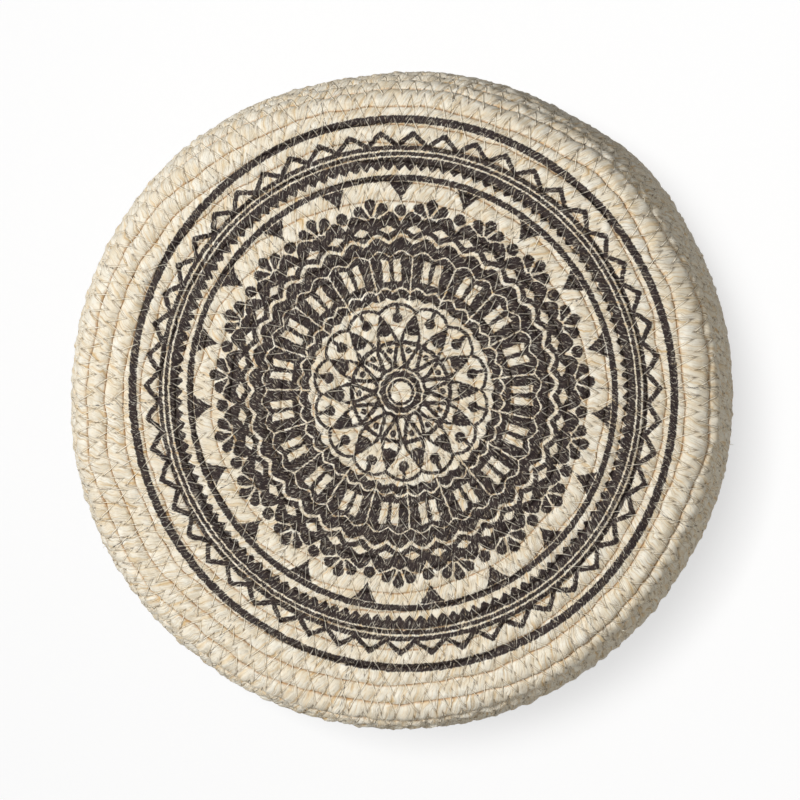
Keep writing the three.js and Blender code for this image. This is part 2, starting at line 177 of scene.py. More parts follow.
def waves(points, wavelength, seed, count=16):
    """A smooth random field of about unit size, made of waves in random directions."""
    rng = np.random.default_rng(WAVE_SEED + seed)
    points = np.asarray(points, float)
    direction = rng.normal(size=(count, points.shape[-1]))
    direction /= np.linalg.norm(direction, axis=1, keepdims=True)
    number = FULL_TURN / wavelength * rng.uniform(0.6, 1.6, count)
    phase = rng.uniform(0, FULL_TURN, count)
    total = np.zeros(points.shape[:-1])
    for k in range(count):
        total += np.cos(points @ (direction[k] * number[k]) + phase[k])
    return total * math.sqrt(2 / count)


def seam_out(turn_angle):
    """How far along the outline the seam outside the row lies, before it wanders."""
    return np.maximum(0, FIRST_ROW + HALF_ROW + ROW_PITCH * turn_angle / FULL_TURN)


def row_middle(turn_angle):
    return (seam_out(turn_angle) + seam_out(turn_angle - FULL_TURN)) / 2


def row_half(turn_angle):
    """Half the width of the row: less than half the pitch only where the rope starts."""
    return (seam_out(turn_angle) - seam_out(turn_angle - FULL_TURN)) / 2


def smooth_step(value, low, high):
    share = np.clip((value - low) / (high - low), 0, 1)
    return share * share * (3 - 2 * share)


def clockwise(angle):
    """Degrees clockwise from the top of the photograph."""
    return (90 - np.degrees(angle)) % 360


print("first row", round(float(row_middle(0.0)), 1), "mm from the middle, rows", ROW_PITCH, "mm apart")

# %% Wander and bulges
# clockwise degrees and mm along the outline
ROW_DRIFT = np.array([
    (0, -5.3), (45, -1.4), (75, -0.5), (115, -5.7), (150, -8.5), (192, -10.4), (235, -8.1), (260, -5.5),
    (290, -4.0), (330, -7.7),
])
DRIFT_BLUR = range(-12, 13, 4)
# clockwise degrees, half width in degrees, and mm outwards
BULGES = [(350, 18, -3.8), (45, 10, 3.2), (107, 14, 1.4), (190, 32, 0.8), (250, 28, 2.3), (302, 15, 0.9)]
# clockwise degrees and half width in degrees of the fuller shoulder
FULL_MIDDLE, FULL_WIDTH = 78, 30
# most mm, and the middle and half width of the bulge in mm along the outline
SHOULDER_OUT = (5.0, 191, 9)
SHOULDER_UP = (3.0, 185, 11)


def wander(distance, angle):
    """How far the seams stray along the outline at a place on the stool."""
    radius, height, _ = outline(distance)
    points = np.stack([radius * np.cos(angle), radius * np.sin(angle), height], -1)
    stray = 0.7 * waves(points, 75, 1) + 0.35 * waves(points, 22, 2)
    degrees = clockwise(angle)
    drift = np.mean([np.interp(degrees + step, *ROW_DRIFT.T, period=360) for step in DRIFT_BLUR], 0)
    return stray * smooth_step(distance, 0, 40) + drift * smooth_step(distance, 20, 110)


def full_shoulder(distance, angle, most, middle, width):
    """A bulge of the shoulder that is there on its fuller side only."""
    off = (clockwise(angle) - FULL_MIDDLE) / FULL_WIDTH
    return most * np.exp(-off ** 2) * np.exp(-((distance - middle) / width) ** 2)


def bulge_out(distance, angle):
    """How far the padding pushes the rim out of round."""
    total = 0
    for middle, width, out in BULGES:
        off = (clockwise(angle) - middle + 180) % 360 - 180
        total = total + out * np.exp(-(off / width) ** 2)
    total = total * smooth_step(distance, 140, 185) * (1 - smooth_step(distance, 330, 420))
    return total + full_shoulder(distance, angle, *SHOULDER_OUT)


def shoulder_lift(distance, angle):
    return full_shoulder(distance, angle, *SHOULDER_UP)


eighths = np.arange(8) * FULL_TURN / 8
print("rim out of round by", np.round(bulge_out(200 + 0 * eighths, eighths), 1), "mm")


# %% Places on the rope
def place(turn_angle, across, height):
    """Points of the rope: across is -1 at the inner seam and 1 at the outer, height is mm over the centre."""
    distance = row_middle(turn_angle) + across * row_half(turn_angle)
    distance = distance + wander(distance, turn_angle)
    distance = np.clip(distance, 0, outline_length + HALF_ROW)
    radius, level, slope = outline(distance)
    reach = radius + height * np.sin(slope) + bulge_out(distance, turn_angle)
    level = level + height * np.cos(slope) + shoulder_lift(distance, turn_angle)
    return np.stack([reach * np.cos(turn_angle), reach * np.sin(turn_angle), level], -1)


# %% Rope and seam lengths
# the CAD model's ropes join and end half a step before a whole one, so these do too
start_angle = -FULL_TURN * (FIRST_ROW + HALF_ROW) / ROW_PITCH
last_step = math.floor((outline_length - FIRST_ROW) / ROW_PITCH * STEPS_PER_TURN) - 0.5
end_angle = FULL_TURN * last_step / STEPS_PER_TURN
join_step = math.floor((seat_run + SHOULDER_RUN + JOIN_BELOW_SHOULDER - FIRST_ROW) / ROW_PITCH
                       * STEPS_PER_TURN) - 0.5
join_angle = FULL_TURN * join_step / STEPS_PER_TURN
table_angle = np.linspace(start_angle, end_angle + FULL_TURN, 40000)


def running_length(distances):
    """Length along a spiral that lies at these distances along the outline, for each angle of the table."""
    radius, _, _ = outline(np.clip(distances, 0, outline_length))
    step = np.hypot(radius, ROW_PITCH / FULL_TURN) * (table_angle[1] - table_angle[0])
    return np.concatenate([[0], np.cumsum((step[1:] + step[:-1]) / 2)])


rope_length_at = running_length(row_middle(table_angle))
seam_length_at = running_length(seam_out(table_angle))
rope_length = np.interp(end_angle, table_angle, rope_length_at)
print("turns:", round((end_angle - start_angle) / FULL_TURN, 1), "rope:", round(rope_length / 1000, 1), "m")

# %% [markdown]
# ## Relief of the rope
#
# The rope is soft, so its rows are pressed flat where they meet and stand up between. The seams lie shallow
# in the middle of the seat, where it is sat on, and deeper at its rim. The thread runs in a zigzag over every
# seam: it pulls the husk down along each leg, most at the needle holes in the middle of the rows, and the
# husk puffs up between the legs. It is sewn by hand, so the stitches are not all of one length. The husk
# itself is strips twisted round a core, which gives low slanting ridges.

# %% Stitches
STITCH_PITCH = 10.3
STITCH_REACH = 5.0
STITCH_UNEVEN = 0.1
LEG_DEPTH, LEG_WIDTH = 0.5, 0.7
DIP_DEPTH, DIP_WIDTH = 0.5, 2.2
HOLE_DEPTH = 0.2
HOLE_STARTS = 0.72
stitch_facing = math.cos(math.atan(4 * STITCH_REACH / STITCH_PITCH))
stitches_at = seam_length_at / STITCH_PITCH + STITCH_UNEVEN * waves(seam_length_at[:, None], 40, 13)


def stitch_phase(turn_angle, seam):
    """Stitches sewn so far along the outer seam (0) or the inner seam (1) of the row at this angle."""
    return np.interp(turn_angle - FULL_TURN * seam, table_angle, stitches_at)


def zigzag(phase):
    """From -1 at the inner needle holes to 1 at the outer ones."""
    return 1 - 4 * np.abs(phase - np.floor(phase) - 0.5)


def stitch_pull(turn_angle, across):
    """How far the two threads of a row pull its surface in, in mm."""
    pull = np.zeros(np.broadcast(turn_angle, across).shape)
    for seam in (0, 1):
        swing = zigzag(stitch_phase(turn_angle, seam))
        from_seam = (across - 1 + 2 * seam) * HALF_ROW
        off_leg = (from_seam - STITCH_REACH * swing) * stitch_facing
        hole = np.clip((np.abs(swing) - HOLE_STARTS) / (1 - HOLE_STARTS), 0, 1)
        pull += (LEG_DEPTH + HOLE_DEPTH * hole) * np.exp(-(off_leg / LEG_WIDTH) ** 2)
        pull += DIP_DEPTH * np.exp(-(off_leg / DIP_WIDTH) ** 2)
    return pull


print("stitches over the seams:", round(float(np.interp(end_angle, table_angle, stitches_at))))

# %% Relief
SHALLOW_SEAM, DEEP_SEAM = 3.1, 1.9
FLAT_ROW, ROUND_ROW = 2.7, 2.2
THINNEST = 0.25
FIBRE_LEAN = 0.55


def seam_height(turn_angle):
    """How far the seams lie above the centre line, in the middle of the seat and towards its rim."""
    return SHALLOW_SEAM + (DEEP_SEAM - SHALLOW_SEAM) * smooth_step(row_middle(turn_angle), 90, 165)


def fullness(turn_angle):
    """1 for the whole rope, and less where it thins out in the middle of the seat."""
    return THINNEST + (1 - THINNEST) * np.clip(row_half(turn_angle) / HALF_ROW, 0, 1)


def relief(turn_angle, across):
    """Height of the rope's upper face above its centre line."""
    roundness = FLAT_ROW + (ROUND_ROW - FLAT_ROW) * smooth_step(row_middle(turn_angle), 120, 175)
    bulge = np.sqrt(np.clip(1 - np.abs(across) ** roundness, 0, 1))
    along = np.interp(turn_angle, table_angle, rope_length_at)
    on_rope = np.stack(np.broadcast_arrays(along, across * HALF_ROW), -1)
    leaning = np.stack([on_rope[..., 0] + FIBRE_LEAN * on_rope[..., 1], on_rope[..., 1] / 4], -1)
    # lumps and long swellings of the core, then ridges of the husk strips, all in mm
    lumps = 0.28 * waves(on_rope * (0.6, 1), 9, 3) + 0.2 * waves(on_rope * (0.1, 0.3), 8, 4)
    ridges = 0.22 * waves(leaning, 4.2, 5, 24)
    low = seam_height(turn_angle) + 0.45 * waves(on_rope * (1, 0), 18, 6)
    height = low + (ROPE_RADIUS - 0.1 - low) * bulge
    height = height + (lumps + ridges) * bulge - stitch_pull(turn_angle, across) * (0.35 + 0.65 * bulge)
    return height * fullness(turn_angle)


print("relief across a row:", np.round(relief(np.full(7, end_angle / 2), np.linspace(-1, 1, 7)), 1), "mm")

# %% [markdown]
# ## Rope meshes
#
# Each length of rope is a closed tube: a ring of points every 1.25 mm, close together over the top, where
# the relief is, and few on the hidden side. The rope is cut into six lengths, so that none of them is too
# big a mesh, and they meet end to end. Each point also keeps where it is on the rope and in the stitching,
# for the material.

# %% Mesh helpers
def mesh_object(name, points, faces):
    """An object from points in mm and faces as one array of corner numbers per face size."""
    mesh = bpy.data.meshes.new(name)
    counts = np.concatenate([np.full(len(group), group.shape[1]) for group in faces])
    corners = np.concatenate([group.ravel() for group in faces]).astype(np.int32)
    mesh.vertices.add(len(points))
    mesh.vertices.foreach_set("co", (np.asarray(points, np.float32) / 1000).ravel())
    mesh.loops.add(len(corners))
    mesh.loops.foreach_set("vertex_index", corners)
    mesh.polygons.add(len(counts))
    starts = np.concatenate([[0], np.cumsum(counts)[:-1]]).astype(np.int32)
    mesh.polygons.foreach_set("loop_start", starts)
    mesh.polygons.foreach_set("loop_total", counts.astype(np.int32))
    mesh.update(calc_edges=True)
    mesh.shade_smooth()
    made = bpy.data.objects.new(name, mesh)
    bpy.context.scene.collection.objects.link(made)
    return made


def tube_object(name, rings):
    """A closed tube from rings of points, with a flat cap at each end on points of its own."""
    count, sides, _ = rings.shape
    first = np.arange(count - 1)[:, None] * sides
    side = np.arange(sides)[None, :]
    after = (side + 1) % sides
    quads = np.stack([first + side, first + side + sides, first + after + sides, first + after], -1)
    points = np.concatenate([rings.reshape(-1, 3), rings[0], rings[-1]])
    caps = np.stack([np.arange(sides) + count * sides, np.arange(sides)[::-1] + (count + 1) * sides])
    return mesh_object(name, points, [quads.reshape(-1, 4), caps])


def keep_values(made, name, values):
    """Stores a vector for each point, for the material to read."""
    attribute = made.data.attributes.new(name, "FLOAT_VECTOR", "POINT")
    attribute.data.foreach_set("vector", np.asarray(values, np.float32).ravel())


# %% Rope meshes
RING_SPACING = 1.25
TOP_POINTS = 13
CROWDING = 0.55
CONTACT = 0.995

even = np.linspace(-1, 1, TOP_POINTS)
top_across = CONTACT * (CROWDING * np.sin(even * math.pi / 2) + (1 - CROWDING) * even)
under_across = np.array([0.96, 0.0, -0.96]) * CONTACT
under_height = np.array([-1.6, -4.4, -1.6])


def rope_rings(angles):
    """Rings of points round the rope at these angles, and the values that the material reads."""
    column = angles[:, None]
    top = place(column, top_across, relief(column, top_across))
    under = place(column, under_across, under_height * fullness(column))
    rings = np.concatenate([top, under], 1)
    across = np.concatenate([top_across, under_across])
    along = np.interp(column, table_angle, rope_length_at)
    on_rope = np.stack(np.broadcast_arrays(along, across * HALF_ROW, 0.0), -1)
    stitches = np.stack(np.broadcast_arrays(
        stitch_phase(column, 0), stitch_phase(column, 1), 0.0 * across), -1)
    return rings, on_rope, stitches


def rope_piece(name, from_angle, to_angle):
    from_length, to_length = np.interp([from_angle, to_angle], table_angle, rope_length_at)
    count = max(8, round((to_length - from_length) / RING_SPACING))
    lengths = np.linspace(from_length, to_length, count)
    angles = np.interp(lengths, rope_length_at, table_angle)
    rings, on_rope, stitches = rope_rings(angles)
    made = tube_object(name, rings)
    for attribute, values in (("on_rope", on_rope), ("stitches", stitches)):
        flat = values.reshape(-1, 3)
        sides = values.shape[1]
        keep_values(made, attribute, np.concatenate([flat, flat[:sides], flat[-sides:]]))
    return made


def angles_between(first, last, parts):
    """Cuts the rope between two angles into parts of equal length."""
    lengths = np.linspace(*np.interp([first, last], table_angle, rope_length_at), parts + 1)
    cuts = np.interp(lengths, rope_length_at, table_angle)
    return list(zip(cuts[:-1], cuts[1:]))


seat_ropes = [rope_piece(f"seat_rope_{k + 1}", *span)
              for k, span in enumerate(angles_between(start_angle + 0.3, join_angle, 2))]
wall_ropes = [rope_piece(f"wall_rope_{k + 1}", *span)
              for k, span in enumerate(angles_between(join_angle, end_angle, 4))]
print({o.name: len(o.data.polygons) for o in seat_ropes + wall_ropes})

# %% [markdown]
# ## Thread
#
# The thread is about 0.6 mm thick. It lies on the rope from needle hole to needle hole across every seam, a
# little sunk into the husk, and every other leg is sunk deeper in some places.

# %% Thread
THREAD_RADIUS = 0.29
STEPS_PER_STITCH = 12
THREAD_LIFT = 0.26
SUNK_AT_HOLE = 0.35
SUNK_LEG = 0.3
LIFT_OVER_SEAM = 0.9


def thread_piece(name, from_angle, to_angle):
    """The thread over the seams that are the outer seams of the rows between two angles."""
    first, last = np.interp([from_angle, to_angle], table_angle, stitches_at)
    phase = np.arange(math.ceil(first * STEPS_PER_STITCH), last * STEPS_PER_STITCH) / STEPS_PER_STITCH
    angle = np.interp(phase, stitches_at, table_angle)
    swing = zigzag(phase) * STITCH_REACH / HALF_ROW
    inner = swing < 0
    row_angle = np.where(inner, angle, angle + FULL_TURN)
    across = np.where(inner, 1 + swing, -1 + swing)
    at_hole = np.clip((np.abs(zigzag(phase)) - 0.8) / 0.2, 0, 1)
    back = (phase - np.floor(phase) > 0.5) * (1 - at_hole)
    spot = place(row_angle, across, 0.0)
    sunk = SUNK_LEG * back * np.clip(0.5 + waves(spot, 60, 12), 0, 1)
    height = relief(row_angle, across) + THREAD_LIFT - SUNK_AT_HOLE * at_hole - sunk
    over_seam = np.maximum(height, seam_height(angle) + LIFT_OVER_SEAM)
    rope_height = np.where(np.abs(swing) < 0.12, over_seam, height)
    line = place(row_angle, across, rope_height)
    out = place(row_angle, across, rope_height + 1) - line
    ahead = np.gradient(line, axis=0)
    ahead /= np.linalg.norm(ahead, axis=1, keepdims=True)
    side = np.cross(ahead, out)
    side /= np.linalg.norm(side, axis=1, keepdims=True)
    up = np.cross(side, ahead)
    rings = np.stack([line + THREAD_RADIUS * d for d in (up, side, -up, -side)], 1)
    return tube_object(name, rings)


seat_threads = [thread_piece("seat_thread", 0.0, join_angle)]
wall_threads = [thread_piece(f"wall_thread_{k + 1}", *span)
                for k, span in enumerate(angles_between(join_angle, end_angle - FULL_TURN, 2))]
print({o.name: len(o.data.polygons) for o in seat_threads + wall_threads})

# %% [markdown]
# ## Stray fibres
#
# Here and there a husk fibre or a thread end stands off the rope and curls back to it. Each is one thin tube
# that starts a little inside the rope and runs along an arc.

# %% Stray fibres
# clockwise degrees, mm along the outline, length in mm, degrees from straight outwards, degrees it curls
STRAYS = [
    (52, 187, 9, 60, 250), (64, 176, 7, -40, 120), (97, 232, 5, 0, 20), (103, 205, 6, 110, 200),
    (133, 190, 8, 30, 140), (171, 196, 7, -70, 150), (205, 183, 8, 45, 130), (243, 210, 5, 10, 60),
    (270, 222, 4, 0, 90), (288, 196, 7, -120, 140), (318, 186, 9, 80, 160), (349, 200, 6, 20, 110),
    (12, 181, 8, -100, 150), (81, 190, 6, 140, 130),
]
STRAY_STEPS = 14
STRAY_RADIUS = 0.22
STRAY_ROOT = 1.2
STRAY_RISE = math.radians(75)


def stray_rings(clockwise_degrees, distance, length, heading, curl):
    """Rings of points along a fibre that rises from inside the rope and curls back to it."""
    angle = math.radians(90 - clockwise_degrees)
    radius, level, slope = (float(v) for v in outline(np.array(distance, float)))
    radius += float(bulge_out(distance, angle))
    level += float(shoulder_lift(distance, angle))
    spoke, upright = np.array([math.cos(angle), math.sin(angle), 0]), np.array([0, 0, 1])
    outwards = spoke * math.cos(slope) - upright * math.sin(slope)
    up = spoke * math.sin(slope) + upright * math.cos(slope)
    turn = math.radians(heading)
    ahead = outwards * math.cos(turn) + np.cross(up, outwards) * math.sin(turn)
    start = spoke * radius + upright * level + up * (ROPE_RADIUS - STRAY_ROOT)
    tilt = STRAY_RISE - np.radians(curl) * np.linspace(0, 1, STRAY_STEPS)
    run = np.cos(tilt)[:, None] * ahead + np.sin(tilt)[:, None] * up
    line = start + np.cumsum(run, 0) * length / STRAY_STEPS
    side = np.cross(ahead, up)
    cross = np.cross(run, side)
    thick = STRAY_RADIUS * np.linspace(1, 0.5, STRAY_STEPS)[:, None]
    return np.stack([line + thick * d for d in (cross, side, -cross, -side)], 1)


strays = [tube_object(f"stray_fibre_{k + 1}", stray_rings(*row)) for k, row in enumerate(STRAYS)]
print("stray fibres:", len(strays))

# %% [markdown]
# ## Materials
#
# A material's values are worked out by nodes. The class below wraps one value, so that the shader's sums can
# be written as Python sums: each operator adds a Math node.

# %% Shader values
class Wire:
    """One value in a material: the output of a node."""

    def __init__(self, tree, socket):
        self.tree = tree
        self.socket = socket

    def node(self, kind, values=(), output=0, **settings):
        """Adds a node of any kind, sets it up, feeds its inputs by name or number, and gives one output."""
        made = self.tree.nodes.new(kind)
        for name, value in settings.items():
            setattr(made, name, value)
        for key, value in dict(values).items():
            feed(self.tree, made.inputs[key], value)
        return Wire(self.tree, made.outputs[output])

    def math(self, operation, *others, clamp=False):
        values = dict(enumerate((self, *others)))
        return self.node("ShaderNodeMath", values, operation=operation, use_clamp=clamp)

    def __add__(self, other):
        return self.math("ADD", other)

    __radd__ = __add__

    def __sub__(self, other):
        return self.math("SUBTRACT", other)

    def __rsub__(self, other):
        return self.math("MULTIPLY_ADD", -1, other)

    def __mul__(self, other):
        return self.math("MULTIPLY", other)

    __rmul__ = __mul__

    def __truediv__(self, number):
        return self * (1 / number)

    def __pow__(self, power):
        return self * self if power == 2 else self.math("POWER", power)

    def __neg__(self):
        return self.math("MULTIPLY", -1)

    def __abs__(self):
        return self.math("ABSOLUTE")

    def most(self, other):
        return self.math("MAXIMUM", other)

    def least(self, other):
        return self.math("MINIMUM", other)

    def above_zero(self):
        return self.most(0)

    def clamped(self):
        """Kept between 0 and 1."""
        return self.math("ADD", 0, clamp=True)

    def cos(self):
        return self.math("COSINE")

    def fold(self, size):
        """Goes up from 0 to size and back, again and again."""
        return self.math("PINGPONG", size)

    def ramp(self, low, high):
        """0 at low, 1 at high and straight between, with low and high as numbers."""
        return self.math("MULTIPLY_ADD", 1 / (high - low), -low / (high - low), clamp=True)

    def part(self, name):
        return self.node("ShaderNodeSeparateXYZ", {0: self}, output=name)

    def vector(self, y, z=0):
        return self.node("ShaderNodeCombineXYZ", {0: self, 1: y, 2: z})

    def scaled(self, sizes):
        return self.node("ShaderNodeVectorMath", {0: self, 1: sizes}, operation="MULTIPLY")

    def noise(self, scale, detail=2, rough=0.5, output=0):
        """Noise over this vector, about 0.5 on average."""
        values = {"Vector": self, "Scale": scale, "Detail": detail, "Roughness": rough}
        return self.node("ShaderNodeTexNoise", values, output=output)

    def between(self, low, high):
        """One colour where this is 0, the other where it is 1, and a mix of them between."""
        return self.node("ShaderNodeMix", {0: self, 6: low, 7: high}, output=2, data_type="RGBA")

    def mix(self, other, share):
        """This colour, with a share of the other."""
        return share.between(self, other)

    def bump(self, distance, over=None):
        """This height as a bumpy surface, where 1 is a distance in mm."""
        values = {"Height": self, "Distance": distance / 1000}
        if over is not None:
            values["Normal"] = over
        return self.node("ShaderNodeBump", values)


def feed(tree, socket, value):
    """Links a value to a socket, or sets it there if it is a number or a colour."""
    if isinstance(value, Wire):
        tree.links.new(value.socket, socket)
    else:
        socket.default_value = value


# %% Material helpers
def colour(red, green, blue):
    """A colour as seen on screen, 0 to 255, in the renderer's own terms."""
    parts = np.array([red, green, blue]) / 255
    linear = np.where(parts <= 0.04045, parts / 12.92, ((parts + 0.055) / 1.055) ** 2.4)
    return (*linear.tolist(), 1)


def new_material(name, **constants):
    """A material, its surface shader with constants set on it, and the place on the object in mm."""
    made = bpy.data.materials.new(name)
    made.use_nodes = True
    tree = made.node_tree
    shader = tree.nodes["Principled BSDF"]
    for key, value in constants.items():
        shader.inputs[key.replace("_", " ")].default_value = value
    place_m = Wire(tree, None).node("ShaderNodeTexCoord", output="Object")
    return made, shader, place_m.scaled((1000, 1000, 1000))


def finish_with(shader, **values):
    for key, value in values.items():
        feed(shader.id_data, shader.inputs[key.replace("_", " ")], value)


# %% [markdown]
# ## The print
#
# The seat is printed with a dark round ornament after it is sewn. It is drawn here from counts and radii.
# Each motif is a distance in millimetres, above zero inside the ink, so shapes join by the greater of two
# distances and are cut out by the lesser. A motif that repeats round the ring is drawn once, in an angle
# that is folded back and forth, so all its copies come from one drawing.
#
# The ink has run a little in the husk, so the drawing is shifted by up to a millimetre, differently in each
# place. The stool was not held quite flat for the printing either, so the rings' middle moves by a few
# millimetres from the outer rings to the inner ones.

# %% Places in the print
INNER_MIDDLE = (12.43, 8.55)
OUTER_MIDDLE = (11.43, 7.45)
MIDDLE_MOVES = (2.1, 2.2)
MOVES_BY = 150
INK_RUN = 1.7


def far_from(x, y):
    """The distance of a point from where x and y are 0."""
    return (x * x + y * y).math("SQRT")


class Spot:
    """A place in the print: its distance r from the middle in mm, and its angle."""

    def __init__(self, place_mm):
        run = place_mm.noise(0.3, 4, 0.7, output=1)
        x = place_mm.part("X") + (run.part("X") - 0.5) * INK_RUN
        y = place_mm.part("Y") + (run.part("Y") - 0.5) * INK_RUN
        outer = ((x - OUTER_MIDDLE[0]) ** 2 + (y - OUTER_MIDDLE[1]) ** 2) / MOVES_BY ** 2
        x = x - INNER_MIDDLE[0] + outer * MIDDLE_MOVES[0]
        y = y - INNER_MIDDLE[1] + outer * MIDDLE_MOVES[1]
        self.r = far_from(x, y)
        self.turn = x.math("ARCTAN2", y)

    def fold(self, count, axis):
        """Degrees from the nearest of so many axes round the print, one of them at this angle."""
        return (self.turn * (180 / math.pi) - axis).fold(180 / count)

    def arc(self, degrees):
        """Length in mm of an angle at this distance from the middle."""
        return degrees * self.r * (math.pi / 180)

    def beats(self, count, axis):
        """A wave that peaks so many times round the print."""
        return ((self.turn - math.radians(axis)) * count).cos()

    def ring(self, low, high):
        return (high - low) / 2 - abs(self.r - (low + high) / 2)


def drop_shape(x, y, from_y, to_y, from_size, to_size):
    """A drop along y: round at both ends, and thicker at one of them."""
    share = ((y - from_y) / (to_y - from_y)).clamped()
    off = far_from(x, y - from_y - share * (to_y - from_y))
    return share * (to_size - from_size) + from_size - off


# %% Outer rings and fans
PEAKS = 51
TEETH = 128
FANS = 19
SIDE_LOBE_COS, SIDE_LOBE_SIN = 0.682, 0.731


def outer_rings(spot):
    """Plain rings, a zigzag line between two of them, and teeth on the next."""
    ink = spot.ring(158.0, 162.7).most(spot.ring(142.1, 144.8))
    ink = ink.most(spot.ring(138.8, 141.0)).most(spot.ring(123.8, 127.4))
    peak = spot.fold(PEAKS, 3.1).most(0.22) * (7.5 * PEAKS / 180)
    line = (1.85 - abs(spot.r - 152.0 + peak)) * 0.78
    tooth = (spot.fold(TEETH, 0) * (TEETH / 180)) ** 1.3
    return ink.most(line).most((spot.r - 130 - tooth * 3.3).least(137.8 - spot.r))


def triangles_and_dots(spot, side):
    """A triangle that points inwards from the rings, and a dot under it."""
    beside = spot.arc(side)
    taper = ((spot.r - 112) / 10.8).above_zero() ** 1.3
    triangle = (123.4 - spot.r).least((taper * 6.9 - beside) * 0.85).least(spot.r - 112)
    return triangle.most(3.5 - far_from(beside, spot.r - 106.5))


def fan_lobes(spot, side):
    """Three lobes that spread from one foot."""
    x = spot.arc(180 / FANS - side)
    y = spot.r - 101.5
    middle = drop_shape(x, y, 3.4, 9.2, 0.8, 3.4)
    side_x = x * SIDE_LOBE_COS - y * SIDE_LOBE_SIN
    side_y = x * SIDE_LOBE_SIN + y * SIDE_LOBE_COS
    return middle.most(drop_shape(side_x, side_y, 3.4, 9.7, 0.8, 3.1))


# %% Band of lights
def band_edges(spot, side):
    """The dark band: humps outside and a scalloped line inside."""
    hump = 105.8 - (3.5 - side).above_zero() ** 2 * 0.61 - (side - 3.5).above_zero() ** 2 * 0.324
    small_hump = 103 - (side - 180 / FANS) ** 2 * 0.249
    return (hump.most(small_hump) - spot.r).least(spot.r - 54.2 - spot.beats(2 * FANS, 0.8) * 0.8)


def band_lights(spot):
    """What the band leaves bare: diamonds, waves, spokes, open bars and a thin scalloped line."""
    cusp = abs(spot.beats(FANS, 0.4)) * 2 - 1
    diamond = spot.arc(spot.fold(2 * FANS, 5.1))
    # in millimetres from the diamond's middle it reaches 4.8 sideways and 2.6 outwards
    light = (1 - diamond / 4.8 - abs(spot.r - 95.3) / 2.6) * 2.29
    wave = spot.beats(2 * FANS, 0.4) + cusp * 1.1
    light = light.most(0.98 - abs(spot.r - 89.7 - wave) * 0.85)
    light = light.most(0.45 - abs(spot.r - 80.95 - wave * 0.8))
    light = light.most((0.45 - spot.arc(spot.fold(FANS, 5.4))).least(79.5 - spot.r))
    off_bar = spot.fold(FANS, 14.75) - 2.75
    bar = (2.1 - abs(spot.arc(off_bar))).least(spot.r - 64.8).least(77.6 + off_bar * 0.35 - spot.r)
    return light.most(bar).most(0.65 - abs(spot.r - 59.75 - cusp * 0.7 - spot.beats(2 * FANS, 0.8) * 0.55))


# %% Rosette
PETALS = 14


def rosette(spot):
    """Arches with drops in them, tulips between, and an open star round the hub."""
    petal = spot.fold(PETALS, 23.4)
    bent = petal * (math.pi / 180)
    x = spot.r * bent.math("SINE")
    y = spot.r * bent.cos()
    arch = (0.95 - abs(far_from(x, y - 38.8) - 12.6)).least(spot.r - 45.5)
    drop = drop_shape(x, y, 51, 44.5, 1.0, 1.3).most(3.1 - far_from(x, y - 43.3))
    beside = spot.arc(180 / PETALS - petal)
    up = ((spot.r - 29.7) / 16.8).clamped()
    tulip = ((1 - up * 0.66 - up * up * up * 0.34) * 6.75 - beside) * 0.8
    mouth = (4.0 - beside).least(spot.r - 30.3).least(33.2 + beside * 0.4 - spot.r)
    tulip = tulip.least(spot.r - 28).least(-mouth)
    return arch.most(drop).most(tulip).most((30.2 - spot.r).least(-star_lights(spot, x, y, beside)))


def star_lights(spot, x, y, beside):
    """What the star leaves bare: cells with a dot in each, drops between them, and rings round the hub."""
    cell = (27.8 - spot.r).least((spot.r - 18.3) * 0.424 - beside)
    dot = 1.8 - far_from(beside, spot.r - 24.8)
    between = drop_shape(x, y, 26.6, 16.9, 0.2, 1.85).least(spot.r - 15)
    wavy = 0.6 - abs(spot.r - 12.9 - spot.beats(PETALS, 10.6) * 0.3)
    return cell.least(-dot).most(between).most(wavy).most(0.4 - abs(spot.r - 8.3)).most(6.1 - spot.r)


# %% Whole print
FAN_GAP = 0.8


def print_depth(place_mm):
    """How far inside the ink a place on the seat is, in mm."""
    spot = Spot(place_mm)
    side = spot.fold(FANS, 0.3)
    lobes = fan_lobes(spot, side)
    band = band_edges(spot, side).least(-lobes - FAN_GAP).least(-band_lights(spot))
    ink = outer_rings(spot).most(triangles_and_dots(spot, side))
    return ink.most(lobes).most(band).most(rosette(spot))


print("the print:", PEAKS, "peaks,", TEETH, "teeth,", FANS, "fans,", PETALS, "petals")

# %% [markdown]
# ## Husk
#
# Dry corn husk is cream to straw, with tan and orange patches where a strip is older, and fine fibres that
# cross the rope on a slant. The seams are painted brown: partly the darker husk there, partly painted shade
# in the groove between the rows. The needle holes are small dots of painted shade, and the husk is creased
# along the stitches, with painted shade along each crease. Ink sits on the fibres and misses some of them, so
# the print is full of short pale specks.

# %% Marks of the stitches
def stitch_marks(across, phase_out, phase_in):
    """Two masks, for painted shade and for the bump: the crease of the husk along the stitches, and the
    needle holes.
    """
    def leg(phase, seam_at):
        swing = phase.fold(0.5) * 4 - 1
        off = abs(across - seam_at - swing * STITCH_REACH) * stitch_facing
        return off, abs(abs(swing) * STITCH_REACH - STITCH_REACH + 0.2) + off

    off_out, hole_out = leg(phase_out, HALF_ROW)
    off_in, hole_in = leg(phase_in, -HALF_ROW)
    return 1 - off_out.least(off_in).ramp(0.2, 0.9), 1 - hole_out.least(hole_in).ramp(0.15, 0.6)


# %% Ink on the husk
INK, WORN_INK = colour(36, 28, 29), colour(60, 49, 46)


